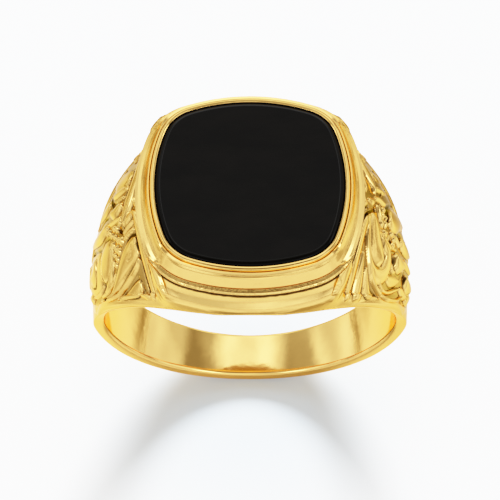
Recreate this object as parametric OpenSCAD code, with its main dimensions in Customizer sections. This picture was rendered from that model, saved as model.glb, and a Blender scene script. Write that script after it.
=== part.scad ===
// Signet ring: a flared gold hoop, leaf-and-scroll shoulders and a cushion-shaped onyx in a stepped bezel.
// Frame: origin at the centre of the finger hole, +Y along the finger, +Z up through the stone. Millimetres.

/* [Band] */
// Radius of the finger hole
finger_r = 9.5; // [9.3:0.05:9.7]
// Half the width of the band at the back of the finger
band_half = 1.45; // [1.3:0.05:1.6]
// Thickness of the band at its crown
band_t = 0.95; // [0.8:0.05:1.05]
// Thickness of the hoop under the shoulders and the head
hoop_t = 0.5; // [0.45:0.05:0.55]
// Radius of the arc that flares each side of the hoop up to the head
flare_r = 29; // [28.5:0.25:30]

/* [Stone] */
// Half the width of the stone across its flats
stone_half = 6.18; // [6.1:0.02:6.24]
// Radius of the stone's long sides
side_r = 11.8; // [11.4:0.2:12.2]
// Radius of the stone's corners
corner_r = 2.7; // [2.6:0.05:2.8]
// Thickness of the stone
stone_t = 1.05; // [0.95:0.05:1.15]
// Width of the bevel round the stone's table
bevel = 0.35; // [0.25:0.05:0.4]

/* [Head] */
// Height of the bezel's floor over the finger hole
floor_rise = 1.4; // [1.35:0.05:1.45]
// Half the length of the head along the finger, at its foot
head_half = 8.12; // [8.05:0.01:8.2]
// Half the width of the plinth's moulded front
front_half = 5.9; // [5.8:0.05:6.0]

/* [Shoulders] */
// How far the shoulder's crest stands out beside the finger, from the hole's axis
crest_x = 10.7; // [10.65:0.01:10.75]
// Radius of the crest's sweep from the head down to the band
crest_r = 26.6; // [26.4:0.1:26.8]
// Radius of the dome across the shoulder
dome_r = 10; // [9.8:0.1:10.4]
// Height that the leaves and scrolls stand over the shoulder
relief = 0.22; // [0.18:0.02:0.26]

/* [Hidden] */
$fn = 120;
gold = [0.85, 0.62, 0.22];
hoop_r = finger_r + hoop_t;
band_r = finger_r + band_t;
band_dome = 7;
flare_z = 0.5 - finger_r;
step_z = -0.8;
tongue_r = 2.9;
tongue_z = 0.3;
crest_z = -2;
side_c = side_r - stone_half;
reach = side_r - corner_r;
corner_c = (sqrt(2 * reach * reach - side_c * side_c) - side_c) / 2;
turn = atan2(corner_c, corner_c + side_c);
floor_z = finger_r + floor_rise;
seat_z = floor_z + 0.3;
ledge_z = seat_z + 0.3;
table_z = ledge_z + stone_t;
lip_d = 0.27;
wall_d = 0.92;
core_d = 1.28;
ledge_d = 0.9;
far = 40;

// Plan of the stone grown by d on every side
module cushion(d) {
    w = corner_c + (corner_r + d) * sin(turn);
    intersection() {
        translate([-side_c, 0]) circle(r = side_r + d);
        translate([side_c, 0]) circle(r = side_r + d);
        translate([0, -side_c]) circle(r = side_r + d);
        translate([0, side_c]) circle(r = side_r + d);
        union() {
            square([2 * w, far], center = true);
            square([far, 2 * w], center = true);
            for (k = [0 : 3])
                rotate(90 * k) translate([corner_c, corner_c]) circle(r = corner_r + d);
        }
    }
}

// Cushion-shaped block from height z0 to z1
module block(d, z0, z1) {
    translate([0, 0, z0]) linear_extrude(height = z1 - z0) cushion(d);
}

// Cushion-shaped frame between two outlines
module frame(d0, d1, z0, z1) {
    translate([0, 0, z0]) linear_extrude(height = z1 - z0) difference() {
        cushion(d1);
        cushion(d0);
    }
}

// Sweeps a profile, x outward from the stone's edge and y up, along the stone's edge
module moulding() {
    for (k = [0 : 3])
        rotate(90 * k) {
            translate([-side_c, 0, 0]) rotate(-turn)
                rotate_extrude(angle = 2 * turn) translate([side_r, 0]) children();
            translate([corner_c, corner_c, 0]) rotate(turn)
                rotate_extrude(angle = 90 - 2 * turn) translate([corner_r, 0]) children();
        }
}

// Cylinder along the finger, centred on the finger hole
module along_finger(r) {
    rotate([90, 0, 0]) cylinder(r = r, h = far, center = true);
}

// Extrudes a plan drawn with x along the finger and y up, across the ring
module across(x0, x1) {
    translate([x0, 0, 0]) rotate([90, 0, 90]) linear_extrude(height = x1 - x0) children();
}

// Side view of the hoop: narrow at the back of the finger, flared up to the head
module flare(inset) {
    difference() {
        translate([-head_half + inset, -12]) square([2 * (head_half - inset), 24]);
        for (s = [-1, 1])
            translate([s * (band_half + flare_r), flare_z]) circle(r = flare_r + inset);
    }
}

// Outside of the hoop: plain under the shoulders, crowned round the back of the finger
module hoop_outside() {
    along_finger(hoop_r);
    intersection() {
        rotate([90, 0, 0]) rotate_extrude() intersection() {
            translate([band_r - band_dome, 0]) circle(r = band_dome);
            translate([0, -6]) square([band_r, 12]);
        }
        translate([-20, -20, step_z - 20]) cube([40, 40, 20]);
    }
}

module shank() {
    color(gold) difference() {
        intersection() {
            hoop_outside();
            across(-12, 12) flare(0);
        }
        along_finger(finger_r);
    }
}

// Domed sweep of the right shoulder's crest, raised by grow
module crest(grow) {
    translate([crest_x - crest_r, 0, crest_z]) rotate([90, 0, 0]) rotate(-4)
        rotate_extrude(angle = 38) intersection() {
            translate([crest_r - dome_r, 0]) circle(r = dome_r + grow);
            translate([crest_r - 4.5, -8.3]) square([6, 16.6]);
        }
}

// Side view of a shoulder: the flare, ending in a round tongue on the band
module tongue() {
    intersection() {
        flare(0.12);
        union() {
            translate([0, tongue_z]) circle(r = tongue_r);
            translate([-10, tongue_z]) square([20, 12]);
        }
    }
}

module shoulder() {
    color(gold) difference() {
        intersection() {
            crest(0);
            across(front_half, 12) tongue();
        }
        hoop_outside();
        block(core_d, 0, 14);
    }
}

module shoulder_right() shoulder();

module shoulder_left() mirror([1, 0, 0]) shoulder();

// Pointed leaf between two points of the side view
module leaf(p, q, half) {
    d = q - p;
    len = norm(d);
    r = (len * len / 4 + half * half) / (2 * half);
    translate(p) rotate(atan2(d[1], d[0])) intersection() {
        translate([len / 2, half - r]) circle(r = r);
        translate([len / 2, r - half]) circle(r = r);
    }
}

// Curled wire in the side view, open towards the back of the finger
module curl(at, ring, wire) {
    translate(at) difference() {
        circle(r = ring + wire);
        circle(r = ring - wire);
        translate([-ring, -2 * ring]) square([ring * 0.9, ring * 1.6]);
    }
}

// Leaves and scroll over one half of a shoulder, in side view
module ornament() {
    leaf([-0.6, 9.9], [5.5, 8.6], 0.5);
    leaf([-0.6, 8.9], [5.1, 6.9], 0.5);
    leaf([-0.6, 7.9], [4.3, 5.2], 0.48);
    leaf([-0.6, 6.7], [3.3, 3.9], 0.42);
    curl([1.25, 2.2], 0.8, 0.2);
    translate([-0.3, 2.4]) square([0.6, 7.9]);
}

module scrollwork() {
    color(gold) difference() {
        intersection() {
            crest(relief);
            across(front_half + 0.6, 13) intersection() {
                tongue();
                union() {
                    ornament();
                    mirror([1, 0]) ornament();
                }
            }
        }
        crest(0);
        hoop_outside();
        block(core_d, 0, 14);
    }
}

module scrollwork_right() scrollwork();

module scrollwork_left() mirror([1, 0, 0]) scrollwork();

// Plinth's stepped front: a foot, a rib and a hollow under the collar
module front_steps() {
    block(1.94, 4, floor_z - 1.1);
    block(1.8, 4, floor_z - 0.85);
    block(1.66, 4, floor_z - 0.6);
    block(1.4, 4, floor_z - 0.3);
    block(1.34, 4, floor_z - 0.08);
}

module plinth() {
    color(gold) difference() {
        intersection() {
            union() {
                block(core_d, 4, floor_z);
                intersection() {
                    front_steps();
                    translate([-front_half, -12, 4]) cube([2 * front_half, 24, 10]);
                }
            }
            across(-9, 9) flare(0);
        }
        along_finger(hoop_r);
    }
}

module collar() {
    color(gold) {
        frame(wall_d, core_d, floor_z, floor_z + 0.22);
        frame(wall_d, core_d - 0.1, floor_z + 0.22, floor_z + 0.32);
    }
}

// Bezel's wall: a hollow stepped up to the upper rim, on the bezel's floor
module bezel() {
    color(gold) {
        block(wall_d, floor_z, seat_z);
        frame(lip_d, wall_d, seat_z, seat_z + 0.12);
        frame(lip_d, wall_d - 0.16, seat_z + 0.12, seat_z + 0.26);
        frame(lip_d, wall_d - 0.28, seat_z + 0.26, seat_z + 0.5);
        frame(lip_d, wall_d - 0.35, seat_z + 0.5, table_z - 0.12);
    }
}

// Thin rim burnished round the stone
module bezel_lip() {
    color(gold) {
        frame(0, lip_d, seat_z, table_z - 0.06);
        frame(0, lip_d - 0.08, table_z - 0.06, table_z);
    }
}

module bearing() {
    color(gold) frame(-ledge_d, 0, seat_z, ledge_z);
}

module stone_bed() {
    color([0.75, 0.72, 0.62]) block(-ledge_d, seat_z, ledge_z);
}

module stone() {
    color([0.03, 0.03, 0.03]) {
        block(-bevel, ledge_z, table_z + 0.06);
        moulding() polygon([[-bevel - 0.1, ledge_z], [0, ledge_z], [0, table_z - 0.14],
                            [-bevel, table_z + 0.06], [-bevel - 0.1, table_z + 0.06]]);
    }
}

shank();
shoulder_left();
shoulder_right();
scrollwork_left();
scrollwork_right();
plinth();
collar();
bezel();
bezel_lip();
bearing();
stone_bed();
stone();
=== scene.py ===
"""Looks of the signet ring: polished gold hoop, leaf-and-scroll shoulders, stepped head and black onyx."""

import math

import bmesh
import bpy
import numpy as np
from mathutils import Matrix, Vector


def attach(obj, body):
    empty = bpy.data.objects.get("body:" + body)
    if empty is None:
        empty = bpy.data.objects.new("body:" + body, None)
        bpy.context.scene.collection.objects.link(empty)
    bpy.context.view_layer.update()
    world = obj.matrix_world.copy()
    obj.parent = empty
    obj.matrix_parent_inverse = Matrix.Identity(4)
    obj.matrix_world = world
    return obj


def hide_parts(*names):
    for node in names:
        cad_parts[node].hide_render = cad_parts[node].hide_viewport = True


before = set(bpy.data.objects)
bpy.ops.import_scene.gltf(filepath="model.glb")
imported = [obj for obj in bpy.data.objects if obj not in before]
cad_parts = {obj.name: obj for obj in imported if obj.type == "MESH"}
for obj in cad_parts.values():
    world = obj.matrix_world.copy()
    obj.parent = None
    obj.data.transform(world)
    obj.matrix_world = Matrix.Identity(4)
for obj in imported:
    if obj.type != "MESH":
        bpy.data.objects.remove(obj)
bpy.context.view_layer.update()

MM = 0.001
FINGER_R = 9.5

# ------------------------------------------------------------ plan of the stone and the hoop's flare (mm)
# Four bowed sides of radius SIDE_R, centred SIDE_C past the middle, run into corners centred at CORNER_C.
STONE_HALF, SIDE_R, CORNER_R = 6.18, 11.8, 2.7
SIDE_C = SIDE_R - STONE_HALF
REACH = SIDE_R - CORNER_R
CORNER_C = (math.sqrt(2 * REACH**2 - SIDE_C**2) - SIDE_C) / 2
TURN = math.atan2(CORNER_C, CORNER_C + SIDE_C)  # half the angle of one side
HEAD_Z = 10.93  # flat top of the plinth

# half the hoop's width along the finger against the angle round it, in degrees from the stone
FLARE_DEG = np.array([0, 10, 20, 33, 47.5, 63.5, 80, 92, 110, 125, 147, 165, 180.0])
FLARE_HALF = np.array([8.1, 8.02, 7.62, 6.78, 5.7, 4.58, 3.44, 2.82, 2.33, 2.08, 1.78, 1.6, 1.54])

# crest of the shoulders: an arc through CREST_X beside the finger, domed across with DOME_R
CREST_X, CREST_R, CREST_Z, DOME_R = 10.7, 26.6, -2.0, 10.0

# skirt under the collar: heights, and how far out from the stone's edge it stands at each
SKIRT_Z = np.array([6.0, 9.4, 9.6, 9.77, 9.92, 10.05, 10.16, 10.29, 10.42, 10.58, 10.74, 10.86, 10.88, 11.3])
SKIRT_D = np.array([1.97, 1.94, 1.91, 1.86, 1.8, 1.73, 1.65, 1.56, 1.48, 1.4, 1.33, 1.27, 1.16, 1.15])


def smooth(lo, hi, x):
    """0 below lo, 1 above hi, and a soft step between."""
    t = np.clip((x - lo) / (hi - lo), 0, 1)
    return t * t * (3 - 2 * t)


def curve_through(x, xs, ys):
    """Monotone cubic through the given points, level at both ends."""
    step = np.diff(xs)
    slope = np.diff(ys) / step
    tangent = np.zeros_like(ys)
    both = slope[:-1] * slope[1:]
    mean = 2 * both / np.where(slope[:-1] + slope[1:] == 0, 1, slope[:-1] + slope[1:])
    tangent[1:-1] = np.where(both > 0, mean, 0)
    i = np.clip(np.searchsorted(xs, x) - 1, 0, len(xs) - 2)
    t = (x - xs[i]) / step[i]
    return (
        (1 + 2 * t) * (1 - t) ** 2 * ys[i]
        + t * (1 - t) ** 2 * step[i] * tangent[i]
        + t * t * (3 - 2 * t) * ys[i + 1]
        + t * t * (t - 1) * step[i] * tangent[i + 1]
    )


def half_width(deg):
    """Half the hoop's width along the finger."""
    return curve_through(np.abs(deg), FLARE_DEG, FLARE_HALF)


def outside(x, y):
    """Distance out from the stone's outline, in plan."""
    hi = np.maximum(np.abs(x), np.abs(y))
    lo = np.minimum(np.abs(x), np.abs(y))
    on_side = np.arctan2(lo, hi + SIDE_C) <= TURN
    side = np.hypot(hi + SIDE_C, lo) - SIDE_R
    corner = np.hypot(hi - CORNER_C, lo - CORNER_C) - CORNER_R
    return np.where(on_side, side, corner)


def crest_radius(rad, y):
    """Distance from the finger's axis to the shoulder's dome."""
    cx, cz = CREST_X - CREST_R, CREST_Z
    reach = CREST_R - DOME_R + np.sqrt(np.maximum(DOME_R**2 - y * y, 0))
    b = np.sin(rad) * cx + np.cos(rad) * cz
    return b + np.sqrt(np.maximum(b * b - cx * cx - cz * cz + reach * reach, 0))


def skirt_radius(rad, y):
    """Distance from the finger's axis to the moulded skirt under the collar."""
    lo = np.full(np.broadcast(rad, y).shape, 8.0)
    hi = np.full_like(lo, 16.0)
    for _ in range(36):
        mid = (lo + hi) / 2
        inside = outside(mid * np.sin(rad), y) < np.interp(mid * np.cos(rad), SKIRT_Z, SKIRT_D)
        lo, hi = np.where(inside, mid, lo), np.where(inside, hi, mid)
    return (lo + hi) / 2


# ------------------------------------------------------------ shape of the hoop, the tongue and the ground
TONGUE_DEG, TONGUE_END = 82.0, 98.0  # where the shoulder starts to narrow to its tip, and where it ends
SKIRT_END, CREST_START = 29.0, 37.0  # the skirt turns into the shoulder's dome between these
RIM = 0.62  # plain rim along the finger hole
TIP_SINK = 0.22  # how far the shoulder's tip sinks into the band
HOOP_UNDER_HEAD, HOOP_SWELL = 9.7, 0.68
GROUND_DEPTH, RIM_DEPTH = 0.32, 0.12
LOWEST_GROUND, LOWEST_RIM, LOWEST_EDGE = 9.98, 10.02, 9.62
EDGE_ROUND = 0.34  # width of the rounding along the shoulder's outer edge


def hoop_outside(deg):
    """Outer radius of the hoop: thin under the head, full round the back of the finger."""
    return HOOP_UNDER_HEAD + HOOP_SWELL * smooth(72, 101, np.abs(deg))


def tongue_half(deg):
    """Half the shoulder's width along the finger, down to its rounded tip."""
    end = np.clip((np.abs(deg) - TONGUE_DEG) / (TONGUE_END - TONGUE_DEG), 0, 1)
    return (half_width(deg) - 0.03) * np.sqrt(1 - end**2)


def edge_height(deg):
    """Radius at the shoulder's outer edge, just inside the hoop."""
    return np.maximum(LOWEST_EDGE, hoop_outside(deg) - 0.04)


def top_radius(deg, y):
    """Highest surface of a shoulder, before any ground is cut between its leaves."""
    rad = np.radians(deg)
    past_skirt = smooth(SKIRT_END, CREST_START, deg)
    crest = crest_radius(rad, y) - TIP_SINK * smooth(84, 98, deg)
    return (1 - past_skirt) * skirt_radius(rad, y) + past_skirt * crest


def under_collar(deg, y, radius):
    """Keeps a surface below the collar inside the head's outline."""
    rad = np.radians(deg)
    d = outside(radius * np.sin(rad), y)
    cap = HEAD_Z + 0.35 * smooth(1.27, 1.5, d)
    return np.minimum(radius, cap / np.cos(np.minimum(rad, 1.2)))


def carving(deg, y):
    """How deep the ornament is cut: 1 beside the head, less towards the band and the rear edge."""
    return (1 - 0.4 * smooth(66, 88, deg)) * (1 - 0.5 * smooth(1.2, 3.4, y) * smooth(40, 52, deg))


def ground_radius(deg, y):
    """Surface between the leaves, with the plain rim along the finger hole."""
    inset = tongue_half(deg) - np.abs(y)
    top = top_radius(deg, y)
    depth = GROUND_DEPTH * carving(deg, y) * smooth(30.5, 35, deg)
    rim = np.maximum(top - RIM_DEPTH, LOWEST_RIM)
    body = np.maximum(top - depth, LOWEST_GROUND)
    radius = rim + (body - rim) * smooth(RIM - 0.12, RIM + 0.1, inset)
    low = edge_height(deg)
    x = np.clip(inset / EDGE_ROUND, 0, 1)
    radius = low + (radius - low) * np.sqrt(1 - (1 - x) ** 2)
    return under_collar(deg, y, radius)


# ------------------------------------------------------------ leaves, ribs and scrolls
ARC = 11.0  # radius that turns degrees round the finger into millimetres along the shoulder
DEPTH = 0.6  # scale from the heights given below to millimetres
OUTLINE_SHADE_WIDTH = 0.15  # width of the painted shade beside a stroke
NARROWEST_CUT, DEEPEST_CUT = 0.1, -0.16
FAR = 9.0  # stands for any distance out of a stroke's reach
# strongest painted shade on the low ground between the leaves
GROUND_SHADE = 0.45


class Relief:
    """Strokes and cuts over a grid of angles and distances towards the front.

    dark is how much painted shade each point gets, from 0 to 1, in the gaps and hollows of the relief."""

    def __init__(self, deg, front):
        self.along = np.radians(deg) * ARC
        self.front = front
        self.height = np.zeros_like(front)
        self.dark = np.zeros_like(front)

    def line(self, points):
        """Smooth path through [deg, front, half width] points."""
        p = np.array(points, float)
        p[:, 0] = np.radians(p[:, 0]) * ARC
        if len(p) == 2:
            return p[0] + (p[1] - p[0]) * np.linspace(0, 1, 6)[:, None]
        ends = np.vstack([2 * p[0] - p[1], p, 2 * p[-1] - p[-2]])
        out = []
        for i in range(1, len(ends) - 2):
            a, b, c, d = ends[i - 1 : i + 3]
            square, cube = 2 * a - 5 * b + 4 * c - d, 3 * b - a - 3 * c + d
            for t in np.linspace(0, 1, 5, endpoint=False):
                out.append(0.5 * (2 * b + (c - a) * t + square * t**2 + cube * t**3))
        out.append(p[-1])
        return np.array(out)

    def across(self, points):
        """Distance from the path as a share of its half width there, and the greatest half width."""
        path = self.line(points)
        share = np.full_like(self.height, FAR)
        widest = path[:, 2].max()
        reach = widest + 2 * OUTLINE_SHADE_WIDTH
        lo = path[:, :2].min(0) - reach
        hi = path[:, :2].max(0) + reach
        near = (self.along > lo[0]) & (self.along < hi[0]) & (self.front > lo[1]) & (self.front < hi[1])
        along, front = self.along[near], self.front[near]
        nearest = share[near]
        for a, b in zip(path[:-1], path[1:]):
            v = b[:2] - a[:2]
            t = np.clip(((along - a[0]) * v[0] + (front - a[1]) * v[1]) / max(v @ v, 1e-9), 0, 1)
            away = np.hypot(along - a[0] - t * v[0], front - a[1] - t * v[1])
            nearest = np.minimum(nearest, away / np.maximum(a[2] + t * (b[2] - a[2]), 0.01))
        share[near] = nearest
        return share, widest

    def stroke(self, points, height, sharp=0.75):
        """Rounded rib or leaf, fuller with a small sharp. Painted shade is laid beside it, less beside thin
        ribs.
        """
        share, widest = self.across(points)
        raised = DEPTH * height * np.maximum(1 - share**2, 0) ** sharp
        lower = self.height < DEPTH * height * 0.95
        heavy = 0.25 + 0.75 * smooth(0.15, 0.4, widest)
        # painted shade along the stroke's outline, standing in for the shade in the gap beside it
        beside = np.clip(1 - (share - 1) * widest / OUTLINE_SHADE_WIDTH, 0, 1) * (share >= 1) * lower * heavy
        self.dark = np.where(raised > self.height, 0, np.maximum(self.dark, beside))
        self.height = np.maximum(self.height, raised)

    def cut(self, points, depth):
        """Groove with painted shade laid in it, never narrower than the grid can carry."""
        share, _ = self.across([[deg, front, max(half, NARROWEST_CUT)] for deg, front, half in points])
        groove = np.maximum(0, 1 - share**2)
        self.height = np.maximum(self.height - DEPTH * depth * groove, DEEPEST_CUT)
        # painted shade in the groove
        self.dark = np.maximum(self.dark, np.minimum(1, 1.6 * groove) * min(1, depth / 0.3))


def right_ornament(r):
    """Fan of ribs by the head, a big volute round a curled leaf, petals down to the band.

    Points are [degrees from the stone, mm towards the front, half width], as in the other ornaments."""
    r.stroke([[32.6, 4.9, 0.2], [31, 5.4, 0.4], [29.8, 6, 0.5], [29.2, 6.7, 0.45]], 0.4, sharp=0.5)
    r.stroke([[41.5, -0.1, 0.08], [39, 0.25, 0.1], [37, 0.6, 0.11], [35.2, 1.1, 0.11], [34, 1.8, 0.11],
              [33.4, 2.8, 0.11], [32.8, 3.7, 0.11], [32, 4.4, 0.1], [31.2, 4.9, 0.06]], 0.36)
    r.stroke([[38.4, 0.75, 0.25], [36.5, 1.4, 0.34], [35.4, 2.6, 0.36], [35.2, 4, 0.38], [36, 5.3, 0.34],
              [37, 6.1, 0.2]], 0.4)
    r.stroke([[37.9, 3.3, 0.12], [39, 4.2, 0.32], [40.4, 4.95, 0.46], [41.8, 5.55, 0.46],
              [42.8, 5.95, 0.25]], 0.46)
    r.stroke([[42, 3.9, 0.15], [44, 4.4, 0.34], [46.6, 4.85, 0.42], [49.5, 4.95, 0.2]], 0.34)
    # volute and its outer ridges
    r.stroke([[40, 2.6, 0.12], [43, 3.3, 0.26], [47, 3.6, 0.4], [51, 3.5, 0.5], [54.4, 3, 0.62],
              [55.6, 2.2, 0.62], [54.2, 1.6, 0.5], [51.4, 1.4, 0.32], [48.6, 1.3, 0.22],
              [47.4, 1.35, 0.1]], 0.4, sharp=0.6)
    r.stroke([[38.3, 1.2, 0.12], [38.6, 1.9, 0.17], [39.9, 2.6, 0.18], [42, 3.2, 0.18], [44, 3.6, 0.18],
              [46.5, 3.95, 0.18], [50, 4.15, 0.17], [54, 4.22, 0.16], [58, 4.2, 0.15], [62, 4.1, 0.15],
              [66, 3.8, 0.14], [70, 3.45, 0.14], [74, 2.95, 0.12], [77, 2.5, 0.08]], 0.42)
    r.stroke([[40.6, 0.6, 0.4], [42.2, 1.1, 0.9], [44.8, 1.9, 1], [47.8, 2.4, 0.7], [50, 2.6, 0.3]], 0.56)
    r.stroke([[53, 3.75, 0.08], [57, 3.9, 0.15], [60.5, 3.75, 0.16], [64, 3.4, 0.17], [68, 2.9, 0.17],
              [71, 2.5, 0.1]], 0.36)
    r.stroke([[58.5, 3, 0.25], [62, 2.8, 0.42], [66, 2.45, 0.36], [69.5, 2.1, 0.15]], 0.24)
    # petals below the volute
    r.stroke([[58.8, 1.95, 0.1], [60.8, 2.2, 0.13], [63.4, 2.1, 0.1]], 0.36)
    r.stroke([[62.9, 1.15, 0.35], [65, 1.2, 0.66], [67.5, 1.1, 0.62], [71, 0.9, 0.3]], 0.58, sharp=0.55)
    r.stroke([[72.4, 2.4, 0.14], [75, 2.3, 0.32], [79, 2.2, 0.34], [83, 2, 0.16]], 0.3)
    r.stroke([[77.2, 1.2, 0.3], [80, 1.3, 0.58], [84, 1.15, 0.54], [88.5, 0.9, 0.25]], 0.6, sharp=0.55)
    r.stroke([[71.5, 0.5, 0.14], [75, 0.25, 0.3], [80, 0.05, 0.32], [85.5, -0.1, 0.14]], 0.4)
    r.stroke([[67.2, -0.6, 0.25], [69.5, -0.7, 0.5], [74, -0.85, 0.58], [79, -1.05, 0.48],
              [84, -1.2, 0.2]], 0.56, sharp=0.6)
    r.stroke([[58, -0.1, 0.1], [61.5, -0.2, 0.22], [65.5, -0.1, 0.14]], 0.36)
    r.stroke([[53.9, -0.8, 0.4], [56.2, -1, 0.72], [60, -1.4, 0.85], [64, -1.8, 0.8], [69, -2.3, 0.6],
              [75, -2.6, 0.3]], 0.62, sharp=0.6)
    r.stroke([[82.5, 2.3, 0.2], [85.5, 1.9, 0.42], [89, 1.4, 0.25]], 0.5, sharp=0.6)
    # knots between the leaves
    r.stroke([[43.9, -0.65, 0.12], [45.2, -0.35, 0.3], [46.3, 0, 0.26]], 0.42)
    r.stroke([[48.3, 0.9, 0.08], [52, 1.02, 0.12], [56, 1.05, 0.12], [59, 0.85, 0.1], [62, 0.6, 0.08]], 0.34)
    r.stroke([[51.2, 0.75, 0.09], [52.5, 0.35, 0.1]], 0.34)
    r.stroke([[52.8, 0.8, 0.09], [54.1, 0.4, 0.1]], 0.34)
    r.stroke([[33.6, 0, 0.3], [35.4, 0.3, 0.34]], 0.7, sharp=0.6)
    # rear leaf beside the head
    r.stroke([[33.3, -4, 0.2], [34.4, -3, 0.34], [35.5, -2, 0.36], [36.6, -1.1, 0.2]], 0.4)
    r.stroke([[44.6, -3.4, 0.2], [47.5, -3.5, 0.4], [52, -3.8, 0.3]], 0.3)
    r.stroke([[36.8, -3.5, 0.3], [38.8, -3.2, 0.55], [41, -2.8, 0.65], [42.6, -2.2, 0.42],
              [43.2, -1.7, 0.15]], 0.44, sharp=0.6)
    r.stroke([[38.2, -0.45, 0.12], [40.5, -0.6, 0.24], [42.5, -0.95, 0.1]], 0.36)
    r.stroke([[42.6, -1.9, 0.1], [46, -2.3, 0.18], [50.5, -2.6, 0.18], [55, -3, 0.1]], 0.44)
    r.stroke([[43.2, -1.2, 0.1], [46, -1.45, 0.2], [49.5, -1.6, 0.2], [51.6, -1.7, 0.1]], 0.4)
    beads(r, [[57.2, 0.75, 0.3], [58.9, 0.15, 0.24], [47.4, 0.3, 0.24], [49.9, 0.65, 0.24],
              [50.4, -0.05, 0.24], [56.4, 0, 0.22], [48, -0.45, 0.25], [51.6, -0.6, 0.22], [49.2, -1, 0.22],
              [46.3, 0.85, 0.18]])
    # gaps
    r.cut([[38, 0.12, 0.07], [36, 0.42, 0.09], [34.4, 0.95, 0.1], [33.4, 1.7, 0.1], [32.7, 2.8, 0.1],
           [32, 3.8, 0.09], [31.2, 4.6, 0.06]], 0.35)
    r.cut([[42.6, -0.25, 0.12], [40.4, 0.1, 0.08], [38.2, 0.5, 0.08], [36.3, 0.95, 0.08], [34.8, 1.6, 0.08],
           [34.1, 2.6, 0.07], [33.5, 3.8, 0.07], [32.8, 4.8, 0.05]], 0.35)
    r.cut([[43, 3.9, 0.06], [45, 4.2, 0.07], [47, 4.42, 0.07], [50, 4.5, 0.07], [56, 4.48, 0.06]], 0.2)
    r.cut([[46, 1.35, 0.2], [47.6, 1.5, 0.22], [49.2, 1.72, 0.2], [50.7, 2.15, 0.16], [51, 2.75, 0.1]], 0.6)
    r.cut([[59.7, 1.3, 0.16], [60.7, 1.5, 0.25], [61.8, 1.75, 0.12]], 0.3)
    r.cut([[70.6, 1.9, 0.1], [71.5, 1.5, 0.1], [72.6, 1.1, 0.1]], 0.12)
    r.cut([[52.3, -0.4, 0.14], [52.6, -1, 0.24], [53.8, -1.6, 0.26], [55.6, -2, 0.2], [58.5, -2.45, 0.15],
           [62, -2.85, 0.12], [66, -3.25, 0.08]], 0.7)
    r.cut([[65.8, -0.4, 0.12], [66.8, -0.95, 0.2], [69, -1.35, 0.18], [72, -1.6, 0.13], [76, -1.85, 0.1],
           [80, -2.1, 0.06]], 0.6)
    r.cut([[75.4, 0.7, 0.1], [75.8, 1.2, 0.14], [76.8, 1.75, 0.1]], 0.35)
    r.cut([[48.4, -2.1, 0.1], [49.6, -2.3, 0.14]], 0.35)
    r.cut([[46.5, -1.15, 0.1], [46.9, -0.8, 0.1]], 0.35)
    r.cut([[48.6, 0.3, 0.14], [49.2, 0.15, 0.14]], 0.4)
    r.cut([[55.6, 0.75, 0.1], [55.9, 0.5, 0.12]], 0.35)
    r.cut([[36.2, -3.8, 0.1], [38.5, -3.95, 0.1], [41, -3.65, 0.11], [43.2, -3.2, 0.11], [44.2, -2.7, 0.1],
           [43.9, -2.1, 0.1]], 0.3)
    r.cut([[33, -3.2, 0.1], [33.8, -2.4, 0.14], [34.6, -1.5, 0.1]], 0.4)


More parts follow.
